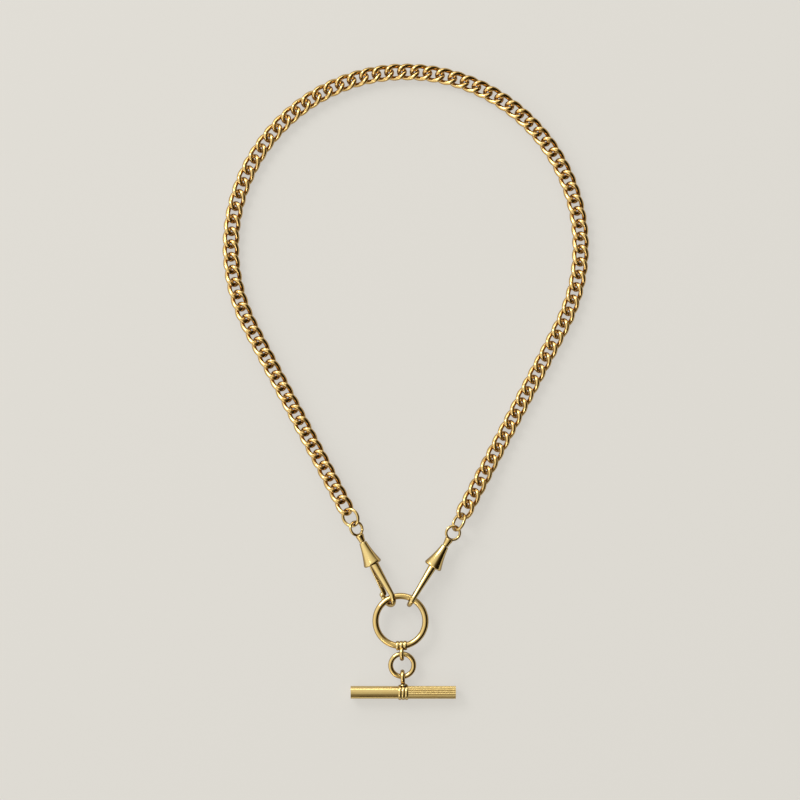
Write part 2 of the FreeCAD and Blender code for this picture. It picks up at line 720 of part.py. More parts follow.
def spring_upright(size):
    """Placement that turns the spring's sketch plane upright in the clip."""
    upright = FreeCAD.Rotation(X_AXIS, 90)
    return FreeCAD.Placement(FreeCAD.Vector(0, 0, -size["plug_radius"]), upright)


def make_clip(doc, size, route, side):
    """All pieces of one swivel clip."""
    place = clip_placement(size, route, side)
    nodes = [
        make_bell(doc, "bell_" + side),
        make_eye(doc, "swivel_eye_" + side, size, side),
        make_washer(doc, "swivel_washer_" + side),
        make_hook(doc, "hook_" + side, size),
        make_gate(doc, "gate_" + side, size),
    ]
    for node in nodes:
        node.Placement = place
    pin = make_gate_pin(doc, "gate_pin_" + side, size)
    pin.Placement = place.multiply(pin.Placement)
    spring = make_gate_spring(doc, "gate_spring_" + side, size)
    spring.Placement = place.multiply(spring_upright(size))
    return nodes + [pin, spring]


# --------------------------------------------------------------------------- centre ring, drop
def drop_frame(size, point):
    """Placement in the drop: X along the collar, Y up the drop towards the centre ring."""
    return FreeCAD.Placement(point, FreeCAD.Rotation(Z_AXIS, size["drop_lean"]))


def upright_loop(doc, name, size, point):
    """Small wire loop that stands across the drop."""
    loop = primitive(doc, "Torus", name + "_wire",
                     {"Radius1": "Sizes.eyelet_radius", "Radius2": "Sizes.eyelet_wire / 2"})
    across = FreeCAD.Placement(NOWHERE, FreeCAD.Rotation(Y_AXIS, 90))
    loop.Placement = drop_frame(size, point).multiply(across)
    return loop


def make_ring(doc, size):
    """Centre ring, its beaded collar and the loop under the collar."""
    points = drop_points(size)
    ring = primitive(doc, "Torus", "ring",
                     {"Radius1": "Sizes.ring_radius", "Radius2": "Sizes.ring_wire / 2"})
    ring.Placement = FreeCAD.Placement(Z_AXIS * clip_level(size), FreeCAD.Rotation())
    half = "(Sizes.ring_collar_length / 2)"
    bow = "(Sizes.ring_radius - sqrt(Sizes.ring_radius^2 - %s^2))" % half
    bore = "Sizes.ring_wire / 2 + %s / 2 + Sizes.fit_gap * 1.5" % bow
    collar = beaded_collar(doc, "ring_collar", "Sizes.ring_collar_length", bore,
                           "Sizes.ring_wire / 2 + Sizes.ring_collar_rise")
    half_length = size["ring_collar_length"] / 2
    sag = size["ring_radius"] - math.sqrt(size["ring_radius"] ** 2 - half_length ** 2)
    shift = FreeCAD.Placement(FreeCAD.Vector(-half_length, sag / 2, 0), FreeCAD.Rotation())
    collar.Placement = drop_frame(size, points["collar"]).multiply(shift)
    loop = upright_loop(doc, "ring_loop", size, points["eyelet"])
    sleeve = primitive(doc, "Cylinder", "ring_loop_seat",
                       {"Radius": "Sizes.ring_wire / 2 + Sizes.ring_collar_rise + Sizes.fit_gap",
                        "Height": "Sizes.ring_collar_length * 2"})
    seat = along_x(-size["ring_collar_length"], sag / 2)
    sleeve.Placement = drop_frame(size, points["collar"]).multiply(seat)
    return [ring, collar, cut(doc, "ring_loop", loop, sleeve)]


def make_drop_ring(doc, size):
    """Small ring between the two collar loops."""
    points = drop_points(size)
    slope = points["upper"] - points["lower"]
    tilt = math.degrees(math.asin(slope.z / slope.Length))
    ring = primitive(doc, "Torus", "drop_ring",
                     {"Radius1": "Sizes.drop_radius", "Radius2": "Sizes.drop_wire / 2"})
    turn = FreeCAD.Placement(NOWHERE, FreeCAD.Rotation(X_AXIS, tilt))
    ring.Placement = drop_frame(size, points["drop"]).multiply(turn)
    return [ring]


def make_bar(doc, size):
    """T-bar: tube, two end plugs, beaded collar and the loop on its stem."""
    points = drop_points(size)
    middle = FreeCAD.Placement(points["bar"], FreeCAD.Rotation())
    seat_start = "(Sizes.bar_length - Sizes.bar_collar_length) / 2"
    seat_end = "(Sizes.bar_length + Sizes.bar_collar_length) / 2"
    tube = turned_body(doc, "t_bar", [
        ("0", "Sizes.bar_radius - Sizes.bar_wall"),
        ("0", "Sizes.bar_radius"),
        (seat_start, "Sizes.bar_radius"),
        (seat_start, "Sizes.bar_radius - Sizes.bar_seat"),
        (seat_end, "Sizes.bar_radius - Sizes.bar_seat"),
        (seat_end, "Sizes.bar_radius"),
        ("Sizes.bar_length", "Sizes.bar_radius"),
        ("Sizes.bar_length", "Sizes.bar_radius - Sizes.bar_wall")])
    half_bar = FreeCAD.Placement(FreeCAD.Vector(-size["bar_length"] / 2, 0, 0), FreeCAD.Rotation())
    tube.Placement = middle.multiply(half_bar)
    plugs = []
    for end, start in (("left", -size["bar_length"] / 2),
                       ("right", size["bar_length"] / 2 - size["bar_cap"])):
        plugs.append(primitive(doc, "Cylinder", "plug_" + end,
                               {"Radius": "Sizes.bar_radius - Sizes.bar_wall - Sizes.fit_gap",
                                "Height": "Sizes.bar_cap"}, along_x(start)))
    pair = doc.addObject("Part::Compound", "t_bar_end_plugs")
    pair.Links = plugs
    pair.Placement = middle
    collar = beaded_collar(doc, "t_bar_collar", "Sizes.bar_collar_length",
                           "Sizes.bar_radius - Sizes.bar_seat + Sizes.fit_gap",
                           "Sizes.bar_collar_radius")
    back = FreeCAD.Placement(FreeCAD.Vector(-size["bar_collar_length"] / 2, 0, 0),
                             FreeCAD.Rotation())
    collar.Placement = middle.multiply(back)
    return [tube, pair, collar, make_bar_loop(doc, size, points)]


def make_bar_loop(doc, size, points):
    """Loop of the T-bar on a stem that flares onto the collar."""
    loop = upright_loop(doc, "t_bar_loop", size, points["bar_eyelet"])
    foot = points["bar"] + Y_AXIS * (size["bar_collar_radius"] * 0.8)
    root = points["bar_eyelet"] - Y_AXIS * size["eyelet_radius"]
    rise = root - foot
    stem = primitive(doc, "Cone", "t_bar_loop_stem",
                     {"Radius1": "Sizes.stem_foot", "Radius2": "Sizes.stem_radius"})
    stem.Height = rise.Length
    stem.Placement = FreeCAD.Placement(foot, FreeCAD.Rotation(Z_AXIS, rise))
    sleeve = primitive(doc, "Cylinder", "t_bar_loop_seat",
                       {"Radius": "Sizes.bar_collar_radius + Sizes.fit_gap",
                        "Height": "Sizes.bar_collar_length * 3"})
    seat = along_x(-size["bar_collar_length"] * 1.5)
    sleeve.Placement = FreeCAD.Placement(points["bar"], FreeCAD.Rotation()).multiply(seat)
    solid = fuse(doc, "t_bar_loop_solid", [loop, stem])
    return cut(doc, "t_bar_loop", solid, sleeve)


# ----------------------------------------------------------------------------------- the whole
def make_all(doc, size, route):
    """Every node of the watch chain."""
    nodes = make_chain(doc, size, route) + make_jump_rings(doc, size, route)
    for side in (LEFT, RIGHT):
        nodes += make_clip(doc, size, route, side)
    nodes += make_ring(doc, size) + make_drop_ring(doc, size) + make_bar(doc, size)
    doc.recompute()
    return nodes


def base_point(nodes):
    """Point under the middle of the whole piece."""
    box = FreeCAD.BoundBox()
    for node in nodes:
        box.add(node.Shape.optimalBoundingBox(False))
    return FreeCAD.Vector(box.Center.x, box.Center.y, box.ZMin)


def settle(doc, nodes):
    """Move every node so that the origin is under the middle of the piece."""
    base = base_point(nodes)
    for node in nodes:
        place = node.Placement
        node.Placement = FreeCAD.Placement(place.Base - base, place.Rotation)
    doc.recompute()
    return base


def check(doc, nodes):
    """Stop on a failed feature or a shape that isn't a valid solid."""
    for item in doc.Objects:
        if "Invalid" in item.State or "Error" in item.State:
            raise RuntimeError("%s failed: %s" % (item.Name, item.State))
    for node in nodes:
        shape = node.Shape
        if shape.isNull() or not shape.isValid() or not shape.Solids:
            raise RuntimeError("%s has no valid solid" % node.Name)


def write(nodes):
    """Write one STEP file per node."""
    os.makedirs("parts", exist_ok=True)
    for node in nodes:
        node.Label = node.Name
        node.Shape.exportStep("parts/%s.step" % node.Label)
        print("%-20s solids %2d volume %9.3f" % (node.Label, len(node.Shape.Solids), node.Shape.Volume))


def main():
    """Build, check and write the watch chain."""
    doc = FreeCAD.newDocument("watch_chain")
    size = make_sheet(doc)
    route = Route(size)
    nodes = make_all(doc, size, route)
    base = settle(doc, nodes)
    check(doc, nodes)
    write(nodes)
    print("rise %.3f half angle %.3f base %s" % (route.rise, route.half_angle, tuple(base)))
    return nodes, size, route, base


RESULT = main()
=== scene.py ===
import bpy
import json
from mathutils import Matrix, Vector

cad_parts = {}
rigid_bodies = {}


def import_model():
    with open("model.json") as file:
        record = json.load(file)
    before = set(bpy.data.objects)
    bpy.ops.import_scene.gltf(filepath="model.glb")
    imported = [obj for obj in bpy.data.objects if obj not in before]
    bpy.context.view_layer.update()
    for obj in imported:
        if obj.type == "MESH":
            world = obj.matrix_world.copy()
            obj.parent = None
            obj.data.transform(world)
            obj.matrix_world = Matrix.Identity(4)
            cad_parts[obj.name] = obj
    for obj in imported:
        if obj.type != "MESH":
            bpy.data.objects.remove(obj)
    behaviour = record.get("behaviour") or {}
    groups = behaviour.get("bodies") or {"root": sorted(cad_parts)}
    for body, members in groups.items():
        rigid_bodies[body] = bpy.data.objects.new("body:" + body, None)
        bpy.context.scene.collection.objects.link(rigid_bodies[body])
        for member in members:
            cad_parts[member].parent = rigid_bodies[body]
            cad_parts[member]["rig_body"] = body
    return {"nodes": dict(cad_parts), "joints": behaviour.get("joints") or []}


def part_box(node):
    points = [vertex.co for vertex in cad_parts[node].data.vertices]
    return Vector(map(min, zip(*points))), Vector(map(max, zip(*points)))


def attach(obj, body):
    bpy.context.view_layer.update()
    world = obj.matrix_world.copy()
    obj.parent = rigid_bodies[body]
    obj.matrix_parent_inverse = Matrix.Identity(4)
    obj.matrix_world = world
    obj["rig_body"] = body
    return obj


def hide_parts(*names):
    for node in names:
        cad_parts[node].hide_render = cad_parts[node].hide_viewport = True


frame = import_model()

"""Looks of a gold curb-link watch chain: linked curbs, swivel clips, rings and a reeded T-bar.

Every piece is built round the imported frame, in metres.  Sizes of the pieces are in millimetres
in the classes below, and become metres in one place, MM.
"""
import json
import logging
import math
from dataclasses import dataclass
from enum import Enum
from typing import Any, Optional, Sequence

import bmesh
import bpy
import numpy as np
from mathutils import Matrix, Vector

LOG = logging.getLogger("watch_chain")
MM = 0.001
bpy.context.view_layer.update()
HARD_EDGE = math.radians(38)
UP = Vector((0, 0, 1))


class Side(Enum):
    """Which end of the chain a clip closes."""

    LEFT = "left"
    RIGHT = "right"


# Turn of each swivel eye about its clip's axis, from the plane of the hook, in degrees.
EYE_ROLL = {Side.LEFT: -4.0, Side.RIGHT: -12.0}
JUMP_RADIUS = 2.7
JUMP_WIRE = 0.95


# ------------------------------------------------------------------------------------ node trees
def add_node(tree: bpy.types.NodeTree, kind: str, settings: Optional[dict[str, Any]] = None,
             inputs: Optional[dict[Any, Any]] = None) -> bpy.types.Node:
    """Add a node with its settings and its input values or links.

    Args:
        tree: the node tree that gets the node.
        kind: the node's type name.
        settings: properties of the node.
        inputs: socket name or index to a value, or to an output socket to link from.

    Returns:
        The new node.
    """
    node = tree.nodes.new(kind)
    for name, value in (settings or {}).items():
        setattr(node, name, value)
    for key, value in (inputs or {}).items():
        socket = node.inputs[key]
        if isinstance(value, bpy.types.NodeSocket):
            tree.links.new(value, socket)
        else:
            socket.default_value = value
    return node


def geometry_tree(name: str, sizes: dict[str, str]) -> tuple[bpy.types.NodeTree, bpy.types.Node]:
    """Start a geometry tree with named inputs.

    Args:
        name: the tree's name.
        sizes: input name to socket kind, such as Float or Int.

    Returns:
        The tree and its group input node.
    """
    tree = bpy.data.node_groups.new(name, "GeometryNodeTree")
    tree.interface.new_socket("Geometry", in_out="INPUT", socket_type="NodeSocketGeometry")
    for word, kind in sizes.items():
        tree.interface.new_socket(word, in_out="INPUT", socket_type="NodeSocket" + kind)
    tree.interface.new_socket("Material", in_out="INPUT", socket_type="NodeSocketMaterial")
    tree.interface.new_socket("Geometry", in_out="OUTPUT", socket_type="NodeSocketGeometry")
    return tree, tree.nodes.new("NodeGroupInput")


def calc(tree: bpy.types.NodeTree, operation: str, *values: Any) -> bpy.types.NodeSocket:
    """Result of one sum on values or sockets."""
    inputs = dict(enumerate(values))
    return add_node(tree, "ShaderNodeMath", {"operation": operation}, inputs).outputs[0]


def copies(tree: bpy.types.NodeTree, source: bpy.types.Node,
           shape: bpy.types.NodeSocket) -> bpy.types.NodeSocket:
    """Put a shape on every seed point, turned by the point's own quaternion."""
    turn = add_node(tree, "GeometryNodeInputNamedAttribute", {"data_type": "QUATERNION"},
                    {"Name": "turn"})
    placed = add_node(tree, "GeometryNodeInstanceOnPoints", inputs={
        "Points": source.outputs["Geometry"], "Instance": shape,
        "Rotation": turn.outputs["Attribute"]})
    return placed.outputs[0]


def end_tree(tree: bpy.types.NodeTree, source: bpy.types.Node,
             geometry: bpy.types.NodeSocket) -> None:
    """Close a geometry tree with smooth faces, real instances and the material."""
    real = add_node(tree, "GeometryNodeRealizeInstances", inputs={"Geometry": geometry})
    smooth = add_node(tree, "GeometryNodeSetShadeSmooth", inputs={"Geometry": real.outputs[0]})
    dressed = add_node(tree, "GeometryNodeSetMaterial", inputs={
        "Geometry": smooth.outputs[0], "Material": source.outputs["Material"]})
    out = tree.nodes.new("NodeGroupOutput")
    tree.links.new(dressed.outputs[0], out.inputs[0])


def grow(name: str, tree: bpy.types.NodeTree, seeds: bpy.types.Mesh, sizes: dict[str, Any],
         material: bpy.types.Material) -> bpy.types.Object:
    """Run a geometry tree on seed points and keep the result as a plain mesh.

    Args:
        name: name of the new piece.
        tree: the geometry tree.
        seeds: mesh whose points carry the places of the copies.
        sizes: values of the tree's named inputs.
        material: finish of the piece.

    Returns:
        The new object, linked to the scene, at the origin.
    """
    maker = bpy.data.objects.new(name + "_maker", seeds)
    bpy.context.scene.collection.objects.link(maker)
    modifier = maker.modifiers.new("shape", "NODES")
    modifier.node_group = tree
    values = dict(sizes, Material=material)
    for item in tree.interface.items_tree:
        if item.in_out == "INPUT" and item.name in values:
            modifier[item.identifier] = values[item.name]
    graph = bpy.context.evaluated_depsgraph_get()
    mesh = bpy.data.meshes.new_from_object(maker.evaluated_get(graph))
    mesh.name = name
    maker.modifiers.clear()
    bpy.data.objects.remove(maker)
    if not mesh.materials:
        mesh.materials.append(material)
    return link_object(name, mesh)


def link_object(name: str, mesh: bpy.types.Mesh) -> bpy.types.Object:
    """Make an object of a mesh, with its hard edges kept crisp, and link it to the scene."""
    mesh.set_sharp_from_angle(angle=HARD_EDGE)
    piece = bpy.data.objects.new(name, mesh)
    bpy.context.scene.collection.objects.link(piece)
    return piece


def seed_points(name: str, places: Sequence[Matrix]) -> bpy.types.Mesh:
    """Mesh with one point per place, its turn kept as a quaternion attribute."""
    mesh = bpy.data.meshes.new(name + "_seeds")
    mesh.from_pydata([place.to_translation() for place in places], [], [])
    turns = mesh.attributes.new("turn", "QUATERNION", "POINT")
    for index, place in enumerate(places):
        turns.data[index].value = place.to_quaternion()
    return mesh


# --------------------------------------------------------------------------------------- finishes
def linear(hex_colour: str) -> tuple[float, float, float, float]:
    """Turn an sRGB hex colour into linear RGBA."""
    parts = [int(hex_colour[place:place + 2], 16) / 255 for place in (1, 3, 5)]
    flat = [part / 12.92 if part <= 0.04045 else ((part + 0.055) / 1.055) ** 2.4 for part in parts]
    return flat[0], flat[1], flat[2], 1.0


@dataclass(frozen=True)
class PolishedMetal:
    """Polished metal with fine wheel marks, handling scratches and slight waviness."""

    name: str
    colour: str
    shade: str
    roughness: float = 0.12
    scratch_mm: float = 0.05
    scratch_depth_mm: float = 0.0008
    wave_mm: float = 1.6
    wave_depth_mm: float = 0.006
    grain: tuple[float, float, float] = (1.0, 1.0, 1.0)
    # Painted shade: the brown painted low on the sides and the most of it mixed in, standing in
    # for dark reflections there.
    flank: str = "#6E4A0C"
    painted_shade_share: float = 0.85

    def build(self) -> bpy.types.Material:
        """Build the material.

        Returns:
            Principled metal whose colour, roughness and bump vary over the surface, with painted
            shade browner low on its sides, set by which way the surface faces, standing in for
            dark reflections there.
        """
        material = bpy.data.materials.new(self.name)
        material.use_nodes = True
        tree = material.node_tree
        tree.nodes.clear()
        place = add_node(tree, "ShaderNodeTexCoord")
        stretched = add_node(tree, "ShaderNodeMapping", inputs={
            "Vector": place.outputs["Object"], "Scale": self.grain})
        wear = add_node(tree, "ShaderNodeTexNoise", inputs={
            "Vector": place.outputs["Object"], "Scale": 1 / (self.wave_mm * 1.7 * MM),
            "Detail": 4.0, "Roughness": 0.6})
        scratches = add_node(tree, "ShaderNodeTexNoise", inputs={
            "Vector": stretched.outputs[0], "Scale": 1 / (self.scratch_mm * 6 * MM),
            "Detail": 3.0, "Roughness": 0.7})
        waves = add_node(tree, "ShaderNodeTexNoise", inputs={
            "Vector": place.outputs["Object"], "Scale": 1 / (self.wave_mm * MM), "Detail": 1.0})
        tone = add_node(tree, "ShaderNodeMix", {"data_type": "RGBA"}, {
            0: wear.outputs[0], 6: linear(self.colour), 7: linear(self.shade)})
        # Painted shade: colour turns towards the flank brown where the surface faces sideways or
        # down instead of up, standing in for dark reflections.
        facing = add_node(tree, "ShaderNodeSeparateXYZ", inputs={0: place.outputs["Normal"]})
        low = add_node(tree, "ShaderNodeMapRange", {"interpolation_type": "SMOOTHSTEP"}, {
            "Value": facing.outputs[2], "From Min": 0.8, "From Max": 0.3,
            "To Min": 0.0, "To Max": self.painted_shade_share})
        tone_with_painted_shade = add_node(tree, "ShaderNodeMix", {"data_type": "RGBA"}, {
            0: low.outputs[0], 6: tone.outputs[2], 7: linear(self.flank)})
        gloss = add_node(tree, "ShaderNodeMapRange", inputs={
            "Value": wear.outputs[0], "From Min": 0.35, "From Max": 0.7,
            "To Min": self.roughness * 0.7, "To Max": self.roughness * 1.5})
        swell = add_node(tree, "ShaderNodeBump", inputs={
            "Height": waves.outputs[0], "Distance": self.wave_depth_mm * MM, "Strength": 1.0})
        marks = add_node(tree, "ShaderNodeBump", inputs={
            "Height": scratches.outputs[0], "Distance": self.scratch_depth_mm * MM,
            "Strength": 1.0, "Normal": swell.outputs[0]})
        shader = add_node(tree, "ShaderNodeBsdfPrincipled", inputs={
            "Base Color": tone_with_painted_shade.outputs[2], "Metallic": 1.0, "Roughness": gloss.outputs[0],
            "Normal": marks.outputs[0]})
        out = add_node(tree, "ShaderNodeOutputMaterial", inputs={"Surface": shader.outputs[0]})
        out.is_active_output = True
        return material


class Finishes:
    """All finishes of the watch chain, each built once."""

    def __init__(self) -> None:
        """Build every finish."""
        # Every finish below gets painted shade, browner low on its sides; the links use their own
        # brown and less of it, the bar far less.
        # 18-carat yellow gold wire, drawn and barrel polished: deep warm shine with soft waves.
        self.links = PolishedMetal("yellow_gold_curb_wire", "#EDCF8E", "#DDB468", 0.13,
                                   flank="#8C5E1C", painted_shade_share=0.75).build()
        # The same gold, turned and buffed: tighter shine.
        self.turned = PolishedMetal("yellow_gold_turned", "#EED694", "#DFBF76", 0.11,
                                    wave_mm=2.4, wave_depth_mm=0.004).build()
        # Drawn and buffed ring wire: long even highlights.
        self.rings = PolishedMetal("yellow_gold_ring_wire", "#EACF8E", "#D8B469", 0.12,
                                   wave_mm=2.8, wave_depth_mm=0.004).build()
        # Reeded tube: marks run along the bar.
        self.bar = PolishedMetal("yellow_gold_reeded_tube", "#EED696", "#DFBF76", 0.17,
                                 grain=(0.08, 1.0, 1.0), wave_mm=2.0,
                                 wave_depth_mm=0.002, scratch_depth_mm=0.0002,
                                 painted_shade_share=0.35).build()
        # Hardened spring strip and rivets, seen only inside the bells.
        self.steel = PolishedMetal("blued_spring_steel", "#8E8C88", "#6C6A66", 0.28).build()


# ------------------------------------------------------------------------------------ mesh making
def mesh_from(name: str, points: Sequence[Sequence[float]], faces: Sequence[Sequence[int]],
              material: bpy.types.Material, place: Matrix) -> bpy.types.Object:
    """Make a closed, smooth, outward-facing mesh object from points in millimetres.

    Args:
        name: name of the piece.
        points: corners in millimetres, in the piece's own frame.
        faces: corner numbers of each face.
        material: finish.
        place: the piece's frame, in metres.

    Returns:
        The object at the origin with its place in its mesh.
    """
    shape = bmesh.new()
    corners = [shape.verts.new(place @ (Vector(point) * MM)) for point in points]
    for face in faces:
        if len(set(face)) > 2:
            shape.faces.new([corners[index] for index in dict.fromkeys(face)])
    bmesh.ops.remove_doubles(shape, verts=shape.verts, dist=1e-7)
    bmesh.ops.recalc_face_normals(shape, faces=shape.faces)
    mesh = bpy.data.meshes.new(name)
    shape.to_mesh(mesh)
    shape.free()
    mesh.polygons.foreach_set("use_smooth", [True] * len(mesh.polygons))
    mesh.materials.append(material)
    return link_object(name, mesh)


def lathe(name: str, outline: Sequence[tuple[float, float]], material: bpy.types.Material,
          place: Matrix, steps: int = 72) -> bpy.types.Object:
    """Turn an outline about the X axis.

    Args:
        name: name of the piece.
        outline: closed outline as (x, radius) in millimetres.
        material: finish.
        place: the piece's frame, in metres.
        steps: faces round the axis.

    Returns:
        The turned object.
    """
    points, faces = [], []
    count = len(outline)
    for step in range(steps):
        angle = 2 * math.pi * step / steps
        for x, radius in outline:
            points.append((x, radius * math.cos(angle), radius * math.sin(angle)))
    for step in range(steps):
        after = (step + 1) % steps
        for index in range(count):
            ahead = (index + 1) % count
            faces.append((step * count + index, step * count + ahead,
                          after * count + ahead, after * count + index))
    return mesh_from(name, points, faces, material, place)


def tube(name: str, path: Sequence[Vector], radii: Sequence[float], material: bpy.types.Material,
         place: Matrix, steps: int = 28) -> bpy.types.Object:
    """Round wire of changing radius along an open path in the XZ plane, with closed ends.

    Args:
        name: name of the piece.
        path: middle line in millimetres.
        radii: radius of the wire at each point of the path, in millimetres.
        material: finish.
        place: the piece's frame, in metres.
        steps: faces round the wire.

    Returns:
        The wire as an object.
    """
    points, faces = [], []
    for index, point in enumerate(path):
        before, after = path[max(index - 1, 0)], path[min(index + 1, len(path) - 1)]
        way = (after - before).normalized()
        across = Vector((0, 1, 0))
        upward = way.cross(across).normalized()
        for step in range(steps):
            angle = 2 * math.pi * step / steps
            offset = across * math.cos(angle) + upward * math.sin(angle)
            points.append(point + offset * radii[index])
    for index in range(len(path) - 1):
        for step in range(steps):
            after = (step + 1) % steps
            base, ahead = index * steps, (index + 1) * steps
            faces.append((base + step, base + after, ahead + after, ahead + step))
    faces.append(tuple(range(steps)))
    faces.append(tuple(range(len(points) - steps, len(points))))
    return mesh_from(name, points, faces, material, place)


def arc(centre: tuple[float, float], radius: float, first: float, last: float,
        steps: int) -> list[tuple[float, float]]:
    """Points (x, y) of an arc between two angles in degrees."""
    result = []
    for step in range(steps + 1):
        angle = math.radians(first + (last - first) * step / steps)
        result.append((centre[0] + radius * math.cos(angle), centre[1] + radius * math.sin(angle)))
    return result


def bezier(points: Sequence[tuple[float, float]], steps: int) -> list[tuple[float, float]]:
    """Points of one cubic curve from four control points."""
    result = []
    for step in range(steps + 1):
        t = step / steps
        weights = ((1 - t) ** 3, 3 * t * (1 - t) ** 2, 3 * t * t * (1 - t), t ** 3)
        result.append((sum(w * p[0] for w, p in zip(weights, points)),
                       sum(w * p[1] for w, p in zip(weights, points))))
    return result


def join(name: str, pieces: Sequence[bpy.types.Object]) -> bpy.types.Object:
    """Join several pieces of one body into one object.

    Args:
        name: name of the joined piece.
        pieces: objects to join, removed afterwards.

    Returns:
        The joined object, with the finishes of all of them.
    """
    shape = bmesh.new()
    materials: list[bpy.types.Material] = []
    for piece in pieces:
        start = len(shape.faces)
        shape.from_mesh(piece.data)
        shape.faces.ensure_lookup_table()
        material = piece.data.materials[0]
        if material not in materials:
            materials.append(material)
        for face in shape.faces[start:]:
            face.material_index = materials.index(material)
        bpy.data.objects.remove(piece)
    mesh = bpy.data.meshes.new(name)
    shape.to_mesh(mesh)
    shape.free()
    for material in materials:
        mesh.materials.append(material)
    return link_object(name, mesh)


# --------------------------------------------------------------------------------- frame readings
def solid_frames(node: str) -> list[Matrix]:
    """Middle and main axes of every separate solid in a CAD node.

    Args:
        node: name of the CAD node.

    Returns:
        One matrix per solid: X along its longest axis, Z along its shortest.
    """
    shape = bmesh.new()
    shape.from_mesh(frame["nodes"][node].data)
    bmesh.ops.remove_doubles(shape, verts=shape.verts, dist=1e-6)
    left = set(shape.faces)
    frames = []
    while left:
        start = left.pop()
        island, edge = [start], [start]
        while edge:
            face = edge.pop()
            for side in face.edges:
                for other in side.link_faces:
                    if other in left:
                        left.remove(other)
                        island.append(other)
                        edge.append(other)
        frames.append(main_axes(island))
    shape.free()
    return sorted(frames, key=lambda item: (round(item.translation.x, 5), item.translation.y))


def main_axes(faces: Sequence[bmesh.types.BMFace]) -> Matrix:
    """Area-weighted middle and principal axes of a closed surface."""
    weights = np.array([face.calc_area() for face in faces])
    middles = np.array([face.calc_center_median() for face in faces])
    middle = (weights[:, None] * middles).sum(0) / weights.sum()
    spread = middles - middle
    covariance = (spread * weights[:, None]).T @ spread / weights.sum()
    _, axes = np.linalg.eigh(covariance)
    long_axis, short_axis = Vector(axes[:, 2]), Vector(axes[:, 0])
    across = short_axis.cross(long_axis)
    turn = Matrix((long_axis, across, short_axis)).transposed()
    return Matrix.Translation(Vector(middle)) @ turn.to_4x4()


def joint_named(name: str) -> dict[str, Any]:
    """Joint of the frame with this name."""
    return next(joint for joint in frame["joints"] if joint["name"] == name)


def box_middle(node: str) -> Vector:
    """Middle of a CAD node's box."""
    low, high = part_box(node)
    return (Vector(low) + Vector(high)) / 2


def ring_frame(node: str) -> Matrix:
    """Frame of a CAD ring: middle of its box, Z along its axis."""
    place = solid_frames(node)[0]
    place.translation = box_middle(node)
    return place


def settle(piece: bpy.types.Object, slot: str, *nodes: str) -> None:
    """Ride a piece on the body of the CAD nodes that it replaces, and report it."""
    body = frame["nodes"][nodes[0]]["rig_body"]
    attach(piece, body)
    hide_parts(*nodes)
    LOG.info("%s rides on %s, %d faces", piece.name, body, len(piece.data.polygons))


# ------------------------------------------------------------------------------------ wire rings
def wire_ring_tree() -> bpy.types.NodeTree:
    """Geometry tree: a closed ring of round wire on every seed point."""
    tree, source = geometry_tree("wire_ring", {
        "Radius": "Float", "Wire Radius": "Float", "Ring Steps": "Int", "Wire Steps": "Int"})
    path = add_node(tree, "GeometryNodeCurvePrimitiveCircle", inputs={
        "Resolution": source.outputs["Ring Steps"], "Radius": source.outputs["Radius"]})
    section = add_node(tree, "GeometryNodeCurvePrimitiveCircle", inputs={
        "Resolution": source.outputs["Wire Steps"], "Radius": source.outputs["Wire Radius"]})
    wire = add_node(tree, "GeometryNodeCurveToMesh", inputs={
        "Curve": path.outputs[0], "Profile Curve": section.outputs[0]})
    end_tree(tree, source, copies(tree, source, wire.outputs[0]))
    return tree


@dataclass
class WireRing:
    """One ring of round wire that stands for a CAD ring."""

    node: str
    slot: str
    radius: float
    wire: float
    ring_steps: int = 96
    wire_steps: int = 28

    def build(self, tree: bpy.types.NodeTree, material: bpy.types.Material,
              place: Optional[Matrix] = None) -> bpy.types.Object:
        """Grow the ring at its CAD ring's place, without riding it yet."""
        seeds = seed_points(self.node, [place or ring_frame(self.node)])
        sizes = {"Radius": self.radius * MM, "Wire Radius": self.wire / 2 * MM,
                 "Ring Steps": self.ring_steps, "Wire Steps": self.wire_steps}
        return grow("gold_" + self.node, tree, seeds, sizes, material)

    def dress(self, tree: bpy.types.NodeTree, material: bpy.types.Material) -> None:
        """Build the ring and put it in place of its CAD node."""
        settle(self.build(tree, material), self.slot, self.node)


